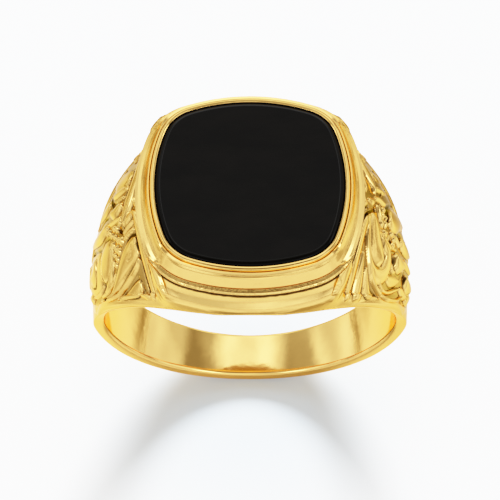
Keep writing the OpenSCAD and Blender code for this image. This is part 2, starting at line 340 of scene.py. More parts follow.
def left_ornament(r):
    """Long rib by the head, a broad folded leaf and two round petals one above the other."""
    r.stroke([[31.6, 4.6, 0.14], [30.4, 5.3, 0.28], [29.5, 6.1, 0.38], [29.2, 6.8, 0.34]], 0.5)
    r.stroke([[31.2, 1.2, 0.08], [31.3, 2.6, 0.14], [31, 4, 0.16], [31.2, 5.2, 0.2], [32.4, 6.1, 0.22],
              [33.6, 6.5, 0.12]], 0.34)
    r.stroke([[37.4, 0.55, 0.12], [36, 1, 0.22], [35.2, 2, 0.3], [34.8, 3.2, 0.34], [34.8, 4.6, 0.34],
              [35.5, 5.6, 0.3], [36.8, 6.1, 0.16]], 0.46)
    # big lobe over the rear leaves
    r.stroke([[36.2, -4.4, 0.25], [35.3, -3.4, 0.42], [35.5, -2.2, 0.5], [37.2, -1.2, 0.55],
              [39.4, -0.45, 0.6], [41.6, 0.2, 0.5], [43, 0.75, 0.22]], 0.52, sharp=0.6)
    r.stroke([[37.9, 0.6, 0.14], [39.6, 0.7, 0.26], [41.6, 0.85, 0.14]], 0.36)
    r.stroke([[37.6, 1.25, 0.1], [40, 1.3, 0.15], [43.4, 1.42, 0.12]], 0.44)
    r.stroke([[37.8, 1.72, 0.1], [40.5, 1.72, 0.17], [43.6, 1.75, 0.12]], 0.38)
    curl(r, 34.6, 0.05, 0.3, 0.12)
    # broad folded leaf and the rim beside it
    r.stroke([[37.4, 2.85, 0.35], [39.5, 2.85, 0.72], [43, 2.95, 0.78], [47, 3.15, 0.66], [51, 3.4, 0.5],
              [55, 3.6, 0.35], [60, 3.75, 0.22], [65, 3.75, 0.12]], 0.44, sharp=0.6)
    r.stroke([[37.6, 3.7, 0.1], [40, 3.95, 0.15], [44, 4.12, 0.16], [49, 4.18, 0.15], [54, 4.2, 0.14],
              [60, 4.1, 0.12], [66, 3.85, 0.08]], 0.46)
    r.stroke([[40.8, 4.9, 0.2], [42.8, 5, 0.44], [45.6, 4.95, 0.42], [50, 4.82, 0.25],
              [56, 4.65, 0.1]], 0.32)
    r.stroke([[38.5, 5.9, 0.1], [39.5, 5.8, 0.2], [41, 5.65, 0.14], [42.6, 5.5, 0.08]], 0.34)
    # round petals
    r.stroke([[54.7, 1.3, 0.4], [57, 1.3, 0.8], [60, 1.4, 1.05], [63, 1.6, 1],
              [65, 1.9, 0.7]], 0.44, sharp=0.55)
    r.stroke([[54.4, 2.2, 0.1], [57.5, 2.6, 0.2], [61, 2.95, 0.24], [65, 3.1, 0.22], [69, 3.1, 0.14],
              [72, 3, 0.08]], 0.34)
    r.stroke([[55, 3, 0.06], [58, 3.2, 0.09], [62, 3.33, 0.09], [66, 3.33, 0.07]], 0.4)
    r.stroke([[67.2, 0.9, 0.35], [69, 1.15, 0.95], [72, 1.15, 1.25], [76, 0.95, 1.35], [80, 0.75, 1.3],
              [84.5, 0.5, 0.9], [88, 0.4, 0.4]], 0.36, sharp=0.5)
    r.stroke([[72.2, 0.5, 0.25], [74.2, 0.85, 0.65], [77, 0.95, 0.8], [80.2, 0.85, 0.5]], 0.54, sharp=0.6)
    r.stroke([[68.5, 2.5, 0.08], [72, 2.6, 0.13], [76, 2.5, 0.14], [80, 2.25, 0.12], [84, 1.9, 0.08]], 0.32)
    r.stroke([[82.6, -0.2, 0.2], [84.6, 0.4, 0.4], [87.2, 0.8, 0.2]], 0.44)
    r.stroke([[83.5, 2, 0.2], [86, 1.8, 0.36], [89, 1.4, 0.2]], 0.5, sharp=0.6)
    # rear leaves
    r.stroke([[41, -2.4, 0.2], [44, -2.75, 0.75], [48, -3.1, 0.85], [52, -3.5, 0.65],
              [56, -3.8, 0.3]], 0.4, sharp=0.6)
    r.stroke([[42.2, -1.9, 0.1], [46, -2.1, 0.2], [50, -2.3, 0.2], [53.4, -2.45, 0.1]], 0.48)
    r.stroke([[44.6, -0.85, 0.15], [47.5, -0.9, 0.42], [50.5, -0.95, 0.45],
              [53.6, -1.2, 0.28]], 0.46, sharp=0.6)
    r.stroke([[44.8, -1.5, 0.09], [48, -1.62, 0.13], [51, -1.62, 0.09]], 0.4)
    r.stroke([[45.5, 0, 0.09], [49, -0.2, 0.12], [53, -0.4, 0.12], [57, -0.65, 0.1]], 0.38)
    r.stroke([[57.6, -0.5, 0.15], [60.5, -0.75, 0.45], [65, -0.85, 0.55], [70, -1.1, 0.5], [76, -1.5, 0.42],
              [83, -1.9, 0.25]], 0.44, sharp=0.6)
    r.stroke([[58.6, -2.4, 0.25], [62, -2.6, 0.55], [67, -2.75, 0.5], [72, -2.75, 0.25]], 0.38)
    beads(r, [[46.1, 1.65, 0.28], [48.6, 2.1, 0.24], [48.3, 1.35, 0.22], [50.4, 1.75, 0.24],
              [50.9, 2.4, 0.2], [48.2, 0.55, 0.24], [50.5, 0.9, 0.2], [50.7, 0.25, 0.22], [52.7, 1.2, 0.2],
              [53, 0.5, 0.19], [53, 2.6, 0.2], [55.4, 0, 0.2], [46.2, 0.3, 0.2], [57.8, -0.15, 0.17],
              [52.6, 1.95, 0.17]])
    # gaps
    r.cut([[37, 2, 0.06], [36.6, 2.8, 0.08], [36.8, 3.8, 0.09], [37.2, 4.8, 0.09], [38, 5.6, 0.07]], 0.3)
    r.cut([[37.4, -2.9, 0.12], [38.5, -2.9, 0.2], [39.9, -3.05, 0.15]], 0.5)
    r.cut([[39.9, -2.5, 0.08], [39.3, -1.8, 0.09], [40.4, -1.2, 0.06]], 0.35)
    r.cut([[43.4, -0.9, 0.06], [44.1, -0.2, 0.08], [44.2, 0.4, 0.08], [43.7, 1, 0.07]], 0.4)
    r.cut([[44.4, 1.2, 0.08], [45.8, 1, 0.13], [47.4, 0.75, 0.09]], 0.45)
    r.cut([[36.9, 2.2, 0.07], [39, 1.98, 0.1], [42, 2, 0.1], [45, 2.22, 0.1], [48, 2.52, 0.1],
           [51, 2.87, 0.1], [54, 3.15, 0.1], [57, 3.38, 0.09], [60, 3.5, 0.09], [64, 3.53, 0.08],
           [68, 3.45, 0.08], [72, 3.2, 0.06]], 0.35)
    r.cut([[39.3, 2.7, 0.06], [40, 3.1, 0.1], [41.4, 3.3, 0.12], [43.5, 3.25, 0.06]], 0.08)
    r.cut([[41, 4.5, 0.06], [46, 4.52, 0.06], [52, 4.5, 0.06], [58, 4.42, 0.05]], 0.15)
    r.cut([[40.4, 4.8, 0.12], [40.4, 5.3, 0.12]], 0.15)
    r.cut([[56, 0.4, 0.06], [58.5, 0.22, 0.1], [61, 0.18, 0.14], [63.3, 0.4, 0.16], [64.9, 1, 0.1],
           [65.9, 1.7, 0.09], [67, 2.4, 0.08], [69, 2.72, 0.07], [72, 2.8, 0.05]], 0.4)
    r.cut([[66, 0.15, 0.06], [70, -0.2, 0.08], [74, -0.5, 0.1], [77, -0.75, 0.17], [80, -1, 0.18],
           [83, -1.2, 0.1]], 0.35)
    r.cut([[70.9, 0.4, 0.07], [71.2, 0.9, 0.09], [72.6, 1.4, 0.1], [74.5, 1.72, 0.1], [76.6, 1.86, 0.09],
           [79, 1.7, 0.05]], 0.18)
    r.cut([[80.8, -0.6, 0.12], [81.2, 0, 0.14], [81.8, 0.6, 0.1]], 0.3)
    r.cut([[49.5, -1.55, 0.08], [52, -1.78, 0.15], [54.4, -1.95, 0.25], [56, -2.25, 0.22],
           [58, -2.9, 0.13]], 0.5)
    r.cut([[59, -1.55, 0.08], [63, -1.85, 0.1], [68, -2, 0.1], [73, -2.1, 0.07]], 0.35)
    r.cut([[40.7, -1.15, 0.06], [42.5, -0.95, 0.06]], 0.25)
    r.cut([[42, -1.6, 0.06], [44, -1.3, 0.06]], 0.25)


def far_leaves(r):
    """Lower leaves along the rear edge of both shoulders, and beside the rear of the head."""
    r.stroke([[31, -5, 0.1], [29.6, -5.6, 0.24], [29.2, -6.2, 0.3], [29.3, -6.85, 0.3]], 0.36)
    r.stroke([[33.4, -4.3, 0.15], [33, -5.2, 0.28], [33.8, -6, 0.3], [35, -6.4, 0.16]], 0.4)
    r.stroke([[38.5, -4.2, 0.15], [38.4, -4.9, 0.26], [39.5, -5.5, 0.26], [41, -5.8, 0.15]], 0.24)
    r.stroke([[42.5, -4.3, 0.2], [44.5, -4.95, 0.34], [47, -5.1, 0.2]], 0.24)
    r.stroke([[50, -4.4, 0.15], [54, -4.5, 0.24], [58, -4.4, 0.12]], 0.22)
    r.stroke([[59, -3.8, 0.12], [64, -3.75, 0.24], [68, -3.55, 0.12]], 0.24)
    r.stroke([[70, -3.2, 0.12], [74, -2.9, 0.24], [78, -2.6, 0.12]], 0.24)
    r.stroke([[80, -2.1, 0.12], [84, -1.7, 0.25], [88, -1.2, 0.1]], 0.24)


def curl(r, deg, front, size, half):
    """Small ring with a knot in the middle."""
    turn = np.linspace(0.6, 6.6, 12)
    wide = math.degrees(size / ARC)
    r.stroke([[deg + wide * math.cos(t), front + size * math.sin(t), half] for t in turn], 0.5)
    r.stroke([[deg - 0.2, front, half * 1.3], [deg + 0.2, front, half * 1.3]], 0.42)


def beads(r, spots):
    """Round knots, as [deg, front, radius]."""
    for deg, front, size in spots:
        r.stroke([[deg - 0.15, front, size], [deg + 0.15, front, size]], 0.2 + size)


def softened(h, times):
    """Rounds the corners left by the cuts, as polishing does."""
    for _ in range(times):
        h = np.pad(h, 1, mode="edge")
        h = (h[:-2] + 2 * h[1:-1] + h[2:]) / 4
        h = (h[:, :-2] + 2 * h[:, 1:-1] + h[:, 2:]) / 4
    return h


def leaf_height(deg, y, side):
    """Ornament of one shoulder: its height over the ground and the painted shade in its gaps and hollows.
    side is -1 left or 1 right.
    """
    r = Relief(deg, -y)
    far_leaves(r)
    (right_ornament if side > 0 else left_ornament)(r)
    height = softened(r.height, 3)
    # painted shade in crevices, where the softened relief stands above the real one
    crevice_shade = smooth(0.03, 0.1, softened(height, 12) - height)
    within_rim = smooth(RIM, RIM + 0.2, tongue_half(deg) - np.abs(y))
    carved = within_rim * smooth(33, 36, deg) * (1 - smooth(82, 88, deg))
    # painted shade on the low ground between the leaves
    low_ground_shade = GROUND_SHADE * (1 - smooth(0.01, 0.12, height)) * carved
    return height * carving(deg, y), np.maximum(softened(r.dark, 1), np.maximum(crevice_shade, low_ground_shade))


# ------------------------------------------------------------ mesh building
WELD = 1e-7  # metres


def in_scene(name, data):
    """New object in the scene."""
    obj = bpy.data.objects.new(name, data)
    bpy.context.scene.collection.objects.link(obj)
    return obj


def solid(name, verts, faces, sharp_deg=35, shade=None):
    """Closed mesh from points in millimetres. shade is how much painted shade each point gets, 0 to 1."""
    mesh = bpy.data.meshes.new(name)
    mesh.from_pydata((np.asarray(verts) * MM).tolist(), [], faces)
    if shade is not None:
        # the painted shade goes with the mesh as a point attribute that the gold material reads
        mesh.attributes.new("painted_shade", "FLOAT", "POINT").data.foreach_set("value", shade.astype(np.float32))
    work = bmesh.new()
    work.from_mesh(mesh)
    bmesh.ops.remove_doubles(work, verts=work.verts, dist=WELD)
    bmesh.ops.dissolve_degenerate(work, dist=WELD, edges=work.edges)
    bmesh.ops.recalc_face_normals(work, faces=work.faces)
    work.to_mesh(mesh)
    work.free()
    mesh.polygons.foreach_set("use_smooth", [True] * len(mesh.polygons))
    mesh.set_sharp_from_angle(angle=math.radians(sharp_deg))
    return in_scene(name, mesh)


def place(rad, radius, y):
    """Points at an angle from +Z round the finger's axis."""
    return np.stack(np.broadcast_arrays(radius * np.sin(rad), y, radius * np.cos(rad)), -1)


def grid_quads(rows, cols):
    """Faces of an open grid of points."""
    i, j = np.meshgrid(np.arange(rows - 1), np.arange(cols - 1), indexing="ij")
    a = i * cols + j
    return np.stack([a, a + 1, a + cols + 1, a + cols], -1).reshape(-1, 4).tolist()


def loop_quads(count, size):
    """Faces of a closed tube: count sections of size points each, joined end to end."""
    faces = []
    for i in range(count):
        a, b = i * size, ((i + 1) % count) * size
        for j in range(size):
            k = (j + 1) % size
            faces.append([a + j, b + j, b + k, a + k])
    return faces


def sheet_solid(name, deg, y, radius, inner, dark, side=1):
    """Closed piece between a radial height map and a smooth inner surface. Rows run round the finger."""
    rows, cols = y.shape
    rad = np.radians(deg) * side
    top = place(rad, radius, y).reshape(-1, 3)
    low = np.stack([place(rad[:, 0], inner, y[:, 0]), place(rad[:, 0], inner, y[:, -1])], 1).reshape(-1, 3)
    verts = np.vstack([top, low])
    faces = grid_quads(rows, cols)
    base = rows * cols
    for i in range(rows - 1):
        a, b = base + 2 * i, base + 2 * i + 2
        faces.append([i * cols, (i + 1) * cols, b, a])
        faces.append([(i + 1) * cols - 1, a + 1, b + 1, (i + 2) * cols - 1])
        faces.append([a, b, b + 1, a + 1])
    last = (rows - 1) * cols
    faces.append(list(range(cols)) + [base + 1, base])
    faces.append(list(range(last, last + cols)) + [base + 2 * rows - 1, base + 2 * rows - 2])
    return solid(name, verts, faces, shade=np.concatenate([dark.ravel(), np.zeros(2 * rows)]))


SIDE_STEPS, CORNER_STEPS, ROUNDING_STEPS = 64, 30, 5
STONE_SHARP_DEG = 50
BESIDE_FROM, BESIDE_FULL = 0.72, 0.95  # sideways share of the outward direction


def outline():
    """Points and outward directions round the stone's outline."""
    angle = []
    for quarter in range(4):
        mid = quarter * math.pi / 2
        angle.extend(np.linspace(mid - TURN, mid + TURN, SIDE_STEPS, endpoint=False))
        angle.extend(np.linspace(mid + TURN, mid + math.pi / 2 - TURN, CORNER_STEPS, endpoint=False))
    angle = np.array(angle)
    out = np.stack([np.cos(angle), np.sin(angle)], 1)
    axis = np.round(angle / (math.pi / 2)) * math.pi / 2
    side = np.abs(angle - axis) <= TURN + 1e-9
    side_centre = -SIDE_C * np.stack([np.cos(axis), np.sin(axis)], 1)
    corner_centre = CORNER_C * np.sign(out)
    centre = np.where(side[:, None], side_centre, corner_centre)
    size = np.where(side, SIDE_R, CORNER_R)
    return centre + out * size[:, None], out


def rounded(points):
    """Closed profile with each [out, z, radius] corner rounded. A radius of 0 keeps the corner."""
    p = np.array(points, float)
    result = []
    for i in range(len(p)):
        here = p[i, :2]
        if p[i, 2] <= 0:
            result.append(here)
            continue
        to_prev, to_next = p[i - 1, :2] - here, p[(i + 1) % len(p), :2] - here
        a, b = np.linalg.norm(to_prev), np.linalg.norm(to_next)
        u, v = to_prev / a, to_next / b
        half = math.acos(np.clip(u @ v, -1, 1)) / 2
        cut = min(max(p[i, 2] / math.tan(half), 0.008), 0.49 * a, 0.49 * b)
        start, end = here + u * cut, here + v * cut
        for t in np.linspace(0, 1, ROUNDING_STEPS + 1):
            result.append((1 - t) ** 2 * start + 2 * t * (1 - t) * here + t * t * end)
    return np.array(result)


def swept(name, profile, beside=None):
    """Moulding round the stone: its section is profile at front and rear, and beside over the shoulders."""
    at, out = outline()
    front = rounded(profile)
    over = rounded(beside or profile)
    turn = smooth(BESIDE_FROM, BESIDE_FULL, np.abs(out[:, :1]))[:, :, None]
    section = front[None] * (1 - turn) + over[None] * turn
    xy = at[:, None, :] + out[:, None, :] * section[:, :, :1]
    verts = np.concatenate([xy, section[:, :, 1:]], -1).reshape(-1, 3)
    return solid(name, verts, loop_quads(len(at), len(front)))


def cushion(name, levels, edge_z):
    """Solid through outlines given as [out, z] from bottom to top, flat at both ends.

    Its bevel, between the two heights of edge_z, takes the second material."""
    at, out = outline()
    count = len(at)
    rings = [np.column_stack([at + out * d, np.full(count, z)]) for d, z in levels]
    verts = np.vstack(rings)
    faces = []
    for low in range(0, (len(levels) - 1) * count, count):
        for i in range(count):
            k = (i + 1) % count
            faces.append([low + i, low + k, low + count + k, low + count + i])
    faces.append(list(range(count)))
    faces.append(list(range((len(levels) - 1) * count, len(levels) * count)))
    obj = solid(name, verts, faces, STONE_SHARP_DEG)
    for face in obj.data.polygons:
        on_edge = edge_z[0] < face.center.z / MM < edge_z[1] and face.normal.z < 0.999
        face.material_index = 1 if on_edge else 0
    return obj


# ------------------------------------------------------------ the pieces
SHOULDER_INNER, HEAD_INNER = 9.56, 9.6  # radius of the hidden inner faces, inside the hoop's metal
HOOP_STEPS, CROWN_STEPS, EDGE_STEPS = 720, 12, 7
SHOULDER_START, SHOULDER_ROWS, SHOULDER_COLS = 27.8, 310, 300
LEAST_RAISED, HIDDEN_BELOW = 0.02, 0.05  # lower relief than this is kept under the plate, this deep
PLINTH_HALF_DEG, PLINTH_ROWS, PLINTH_COLS = 29.4, 200, 241


def build_hoop():
    """Plain hoop: a flat strap with crisp edges under the head, half round at the back of the finger."""
    deg = np.linspace(-180, 180, HOOP_STEPS + 1)[:-1]
    half = half_width(deg)
    top = hoop_outside(deg) - 0.02
    body = smooth(84, 104, np.abs(deg))
    inner_round = 0.07 + 0.2 * body
    outer_round = 0.03 + 0.25 * body
    crown = 0.07 * body
    quarter = np.linspace(0, math.pi / 2, EDGE_STEPS)
    loop_y, loop_r = [], []

    def add(y, r):
        loop_y.append(y)
        loop_r.append(r)

    def inner_corner(side, turn):
        add(side * (half - inner_round * (1 - np.sin(turn))), FINGER_R + inner_round * (1 - np.cos(turn)))

    def outer_corner(side, turn):
        add(side * (half - outer_round * (1 - np.cos(turn))), top - outer_round * (1 - np.sin(turn)))

    for turn in quarter:
        inner_corner(1, turn)
    for turn in quarter:
        outer_corner(1, turn)
    for share in np.linspace(0.85, -0.85, CROWN_STEPS):
        y = (half - outer_round) * share
        add(y, top + crown * (1 - (y / (half - outer_round)) ** 2))
    for turn in quarter[::-1]:
        outer_corner(-1, turn)
    for turn in quarter[::-1]:
        inner_corner(-1, turn)
    y = np.stack(loop_y, 1)
    r = np.stack(loop_r, 1)
    verts = place(np.radians(deg)[:, None], r, y).reshape(-1, 3)
    return solid("hoop", verts, loop_quads(*y.shape))


def shoulder_grid():
    """Angles and places along the finger, closer together near the shoulder's edges."""
    deg = np.linspace(SHOULDER_START, TONGUE_END - 0.05, SHOULDER_ROWS)[:, None]
    across = np.sin(np.linspace(-1, 1, SHOULDER_COLS) * 1.3) / math.sin(1.3)
    y = tongue_half(deg) * across[None, :]
    return np.broadcast_to(deg, y.shape), y


def build_shoulder(side, word):
    """Shoulder plate, with its grooves, and the relief that stands on it."""
    deg, y = shoulder_grid()
    radius = ground_radius(deg, y)
    height, dark = leaf_height(deg, y, side)
    within = smooth(0.12, 0.28, tongue_half(deg) - np.abs(y))
    height, dark = height * within, dark * within
    radius = radius + np.minimum(height, 0)
    plate = sheet_solid(word + "_shoulder", deg, y, radius, SHOULDER_INNER, dark, side)
    raised = under_collar(deg, y, radius + np.maximum(height, 0))
    raised = np.where(height > LEAST_RAISED, raised, radius - HIDDEN_BELOW)
    relief = sheet_solid(word + "_scrollwork", deg, y, raised, HEAD_INNER, dark, side)
    return plate, relief


def build_plinth():
    """Skirt of the head, with a line of painted shade close under the collar."""
    deg = np.linspace(-PLINTH_HALF_DEG, PLINTH_HALF_DEG, PLINTH_ROWS)[:, None]
    t = np.linspace(-1, 1, PLINTH_COLS)
    t = np.sign(t) * (1 - (1 - np.abs(t)) ** 1.7)  # closer together towards the front and rear
    y = (half_width(deg) - 0.02) * t[None, :]
    deg = np.broadcast_to(deg, y.shape)
    rad = np.radians(deg)
    radius = np.minimum(skirt_radius(np.abs(rad), y), HEAD_Z / np.cos(rad))
    # painted shade close under the collar
    under = smooth(10.73, 10.8, radius * np.cos(rad))
    return sheet_solid("head_plinth", deg, y, radius, HEAD_INNER, under)


def build_collar():
    """Hammered ledge at the front and rear, nearly flush over the shoulders."""
    return swept(
        "head_collar",
        [
            [0.86, 11.18, 0.01], [0.93, 11.18, 0.01], [0.985, 11.25, 0.02], [1.2, 11.15, 0.06],
            [1.275, 11.04, 0.07], [1.285, 10.97, 0.03], [1.2, 10.935, 0.02], [1.05, 10.93, 0.01],
            [0.86, 10.932, 0.01],
        ],
        [
            [0.86, 11.0, 0.01], [0.93, 10.995, 0.01], [1.0, 10.99, 0.02], [1.15, 10.985, 0.06],
            [1.24, 10.975, 0.07], [1.27, 10.955, 0.03], [1.2, 10.935, 0.02], [1.05, 10.93, 0.01],
            [0.86, 10.932, 0.01],
        ],
    )


def build_bezel():
    """Ridge beside the lip and a cove down to the collar. Over the shoulders they join in one flare."""
    return swept(
        "bezel_wall",
        [
            [0.25, 11.5, 0.01], [0.285, 12.22, 0.01], [0.32, 12.28, 0.02], [0.37, 12.3, 0.03],
            [0.57, 12.27, 0.04], [0.615, 12.1, 0.02], [0.66, 12.03, 0.02], [0.84, 11.6, 0.1],
            [0.94, 11.37, 0.03], [0.955, 11.33, 0.01], [0.95, 11.29, 0.01], [0.93, 11.24, 0.01],
            [0.9, 11.15, 0.01], [0.25, 11.15, 0.01],
        ],
        [
            [0.25, 11.5, 0.01], [0.285, 12.0, 0.01], [0.345, 12.24, 0.02], [0.42, 12.27, 0.05],
            [0.5, 12.16, 0.08], [0.55, 11.95, 0.12], [0.62, 11.72, 0.15], [0.73, 11.48, 0.15],
            [0.9, 11.27, 0.12], [1.08, 11.12, 0.08], [1.24, 11.02, 0.02], [1.22, 10.99, 0.01],
            [1.1, 10.97, 0.01], [0.25, 10.97, 0.01],
        ],
    )


def build_lip():
    """Burnished lip over the stone's edge."""
    return swept(
        "setting_lip",
        [
            [-0.01, 11.55, 0], [-0.01, 12.49, 0.02], [0.04, 12.53, 0.03], [0.14, 12.56, 0.06],
            [0.24, 12.49, 0.06], [0.285, 12.34, 0.05], [0.285, 11.55, 0],
        ],
    )


def build_stone():
    """Flat-topped tablet with a narrow bevel."""
    return cushion(
        "onyx_cushion",
        [[-0.5, 11.5], [-0.05, 11.55], [-0.012, 11.62], [-0.012, 12.36], [-0.03, 12.42], [-0.26, 12.575],
         [-0.285, 12.588], [-0.31, 12.598], [-0.34, 12.605], [-0.37, 12.609], [-0.41, 12.61]],
        (12.572, 12.6095),
    )


# ------------------------------------------------------------ materials
def nodes_for(name):
    """New material, its node tree and its shader."""
    mat = bpy.data.materials.new(name)
    mat.use_nodes = True
    tree = mat.node_tree
    return mat, tree, tree.nodes["Principled BSDF"]


def ramp(tree, source, stops):
    """Colour or grey ramp through (position, value) stops."""
    node = tree.nodes.new("ShaderNodeValToRGB")
    while len(node.color_ramp.elements) < len(stops):
        node.color_ramp.elements.new(0.5)
    for element, (pos, value) in zip(node.color_ramp.elements, stops):
        element.position = pos
        element.color = (*value, 1) if isinstance(value, tuple) else (value, value, value, 1)
    tree.links.new(source, node.inputs["Fac"])
    return node.outputs["Color"]


def noise(tree, scale, detail=3.0, stretch=(1, 1, 1)):
    """Noise over the object's own coordinates. scale is in cells per millimetre."""
    coord = tree.nodes.new("ShaderNodeTexCoord")
    mapping = tree.nodes.new("ShaderNodeMapping")
    mapping.inputs["Scale"].default_value = [s / MM for s in stretch]
    tex = tree.nodes.new("ShaderNodeTexNoise")
    tex.inputs["Scale"].default_value = scale
    tex.inputs["Detail"].default_value = detail
    tree.links.new(coord.outputs["Object"], mapping.inputs["Vector"])
    tree.links.new(mapping.outputs["Vector"], tex.inputs["Vector"])
    return tex.outputs["Fac"]


def bump(tree, shader, layers):
    """Chained bumps, as (height, depth in mm, strength)."""
    last = None
    for height, depth, strength in layers:
        node = tree.nodes.new("ShaderNodeBump")
        node.inputs["Distance"].default_value = depth * MM
        node.inputs["Strength"].default_value = strength
        tree.links.new(height, node.inputs["Height"])
        if last:
            tree.links.new(last, node.inputs["Normal"])
        last = node.outputs["Normal"]
    tree.links.new(last, shader.inputs["Normal"])


def multiplied(tree, a, b):
    """Product of two colours."""
    node = tree.nodes.new("ShaderNodeMix")
    node.data_type, node.blend_type = "RGBA", "MULTIPLY"
    node.inputs["Factor"].default_value = 1.0
    tree.links.new(a, node.inputs["A"])
    tree.links.new(b, node.inputs["B"])
    return node.outputs["Result"]


def mixed(tree, factor, a, b):
    """Blend from a to b, each a fixed colour or a socket."""
    node = tree.nodes.new("ShaderNodeMix")
    node.data_type = "RGBA"
    tree.links.new(factor, node.inputs["Factor"])
    for source, name in ((a, "A"), (b, "B")):
        if isinstance(source, tuple):
            node.inputs[name].default_value = (*source, 1)
        else:
            tree.links.new(source, node.inputs[name])
    return node.outputs["Result"]


# LIGHT_GOLD is the gold's own colour; the next two are painted shade: gold darkened in hollows, and darker
# still in the relief's gaps
LIGHT_GOLD, DEEP_GOLD, SHADE_COLOUR = (1.0, 0.59, 0.155), (0.2, 0.1, 0.03), (0.06, 0.04, 0.02)
GRAZING_GOLD = (1.0, 0.8, 0.42)
SHELTER_REACH = 0.45 * MM


def gold(name, deep, rough, peel, peel_scale):
    """Polished yellow gold, wavy by peel mm with peel_scale waves per mm, with painted shade: deep colour
    where ambient occlusion finds hollows, darker still where the mesh carries painted shade.
    """
    mat, tree, shader = nodes_for(name)
    shader.inputs["Metallic"].default_value = 1.0
    shader.inputs["Specular Tint"].default_value = (*GRAZING_GOLD, 1)
    # painted shade: ambient occlusion turns the colour to deep in hollows
    shelter = tree.nodes.new("ShaderNodeAmbientOcclusion")
    shelter.samples = 8
    shelter.inputs["Distance"].default_value = SHELTER_REACH
    occlusion_shaded = ramp(tree, shelter.outputs["AO"], [(0.25, deep), (0.7, LIGHT_GOLD), (1.0, LIGHT_GOLD)])
    cloud = ramp(tree, noise(tree, 0.6), [(0.3, (0.96, 0.95, 0.93)), (0.7, (1, 1, 1))])
    # painted shade: darker colour where the mesh's point attribute asks for it
    painted_shade_node = tree.nodes.new("ShaderNodeAttribute")
    painted_shade_node.attribute_name = "painted_shade"
    groove = ramp(tree, painted_shade_node.outputs["Fac"], [(0.15, (1, 1, 1)), (0.7, SHADE_COLOUR)])
    tinted = multiplied(tree, multiplied(tree, occlusion_shaded, cloud), groove)
    tree.links.new(tinted, shader.inputs["Base Color"])
    dull = ramp(tree, noise(tree, 2.5, 5), [(0.35, rough), (0.75, rough * 1.7)])
    tree.links.new(dull, shader.inputs["Roughness"])
    bump(tree, shader, [(noise(tree, peel_scale, 2), peel, 1.0), (noise(tree, 14), 0.0015, 0.25)])
    return mat


BLACK, PALER_BLACK = (0.0008, 0.0007, 0.0006), (0.0013, 0.0011, 0.0009)


def onyx(name, gloss):
    """Polished black onyx with barely visible clouding."""
    mat, tree, shader = nodes_for(name)
    base = ramp(tree, noise(tree, 0.35, 4, (1, 2.4, 1)), [(0.35, BLACK), (0.7, PALER_BLACK)])
    tree.links.new(base, shader.inputs["Base Color"])
    polish = ramp(tree, noise(tree, 3, 4), [(0.3, 0.16), (0.7, 0.22)])
    tree.links.new(polish, shader.inputs["Roughness"])
    shader.inputs["Specular IOR Level"].default_value = gloss
    bump(tree, shader, [(noise(tree, 9), 0.0008, 0.5)])
    return mat


def cement():
    """Setting cement, hidden under the stone."""
    mat, tree, shader = nodes_for("setting_cement")
    base = ramp(tree, noise(tree, 3, 4), [(0.3, (0.22, 0.17, 0.1)), (0.7, (0.34, 0.28, 0.19))])
    tree.links.new(base, shader.inputs["Base Color"])
    shader.inputs["Roughness"].default_value = 0.7
    bump(tree, shader, [(noise(tree, 6, 4), 0.02, 0.7)])
    return mat


# the table as the gold sees it: cards close to the ring, plain table in front, more cards behind
CARDS = [(0.33, (0.2, 0.165, 0.1)), (0.45, (0.42, 0.4, 0.35)), (0.6, (0.7, 0.69, 0.66))]
FRONT_TABLE = (0.66, 0.64, 0.6)
REAR_CARDS = [(0.38, (0.15, 0.12, 0.07)), (0.5, (0.29, 0.27, 0.22)), (0.62, (0.58, 0.56, 0.52))]
REAR_FROM, REAR_FULL = -0.05, 0.0  # metres along the finger, where plain table turns into rear cards
CARDS_AT, CARDS_FADE = (0, -0.03, -0.01), [(0.035, 0.0), (0.06, 1.0)]

# the table as the camera sees it: nearly even white, with a painted shadow, darker and cooler, just in front
# of the ring
WHITES = [(0.3, (0.92, 0.96, 0.995)), (0.7, (0.925, 0.965, 1))]
SHADOW_AT, SHADOW_FADE = (0, -0.002, -0.01), [(0.004, (0.75, 0.87, 0.98)), (0.013, (1, 1, 1))]


def table_white():
    """White table that reflects in the gold as if dark cards lay round the ring, with a painted shadow in
    front of the ring.
    """
    mat, tree, shader = nodes_for("white_table")
    spot = tree.nodes.new("ShaderNodeTexCoord").outputs["Object"]

    def distance_from(point, stops):
        """Ramp over the distance from a point."""
        node = tree.nodes.new("ShaderNodeVectorMath")
        node.operation = "DISTANCE"
        node.inputs[1].default_value = point
        tree.links.new(spot, node.inputs[0])
        return ramp(tree, node.outputs["Value"], stops)

    split = tree.nodes.new("ShaderNodeSeparateXYZ")
    tree.links.new(spot, split.inputs[0])
    behind = tree.nodes.new("ShaderNodeMapRange")
    behind.inputs["From Min"].default_value = REAR_FROM
    behind.inputs["From Max"].default_value = REAR_FULL
    tree.links.new(split.outputs["Y"], behind.inputs["Value"])
    rear = ramp(tree, noise(tree, 0.06, 1), REAR_CARDS)
    open_table = mixed(tree, behind.outputs["Result"], FRONT_TABLE, rear)
    cards = ramp(tree, noise(tree, 0.045, 1), CARDS)
    reflected = mixed(tree, distance_from(CARDS_AT, CARDS_FADE), cards, open_table)
    # painted shadow: the white is multiplied darker and cooler near the ring's front
    seen = multiplied(tree, ramp(tree, noise(tree, 0.05), WHITES), distance_from(SHADOW_AT, SHADOW_FADE))
    light_path = tree.nodes.new("ShaderNodeLightPath")
    diffuse = tree.nodes.new("ShaderNodeBsdfDiffuse")
    white = mixed(tree, light_path.outputs["Is Camera Ray"], reflected, seen)
    tree.links.new(white, diffuse.inputs["Color"])
    tree.links.new(diffuse.outputs[0], tree.nodes["Material Output"].inputs["Surface"])
    tree.nodes.remove(shader)
    return mat


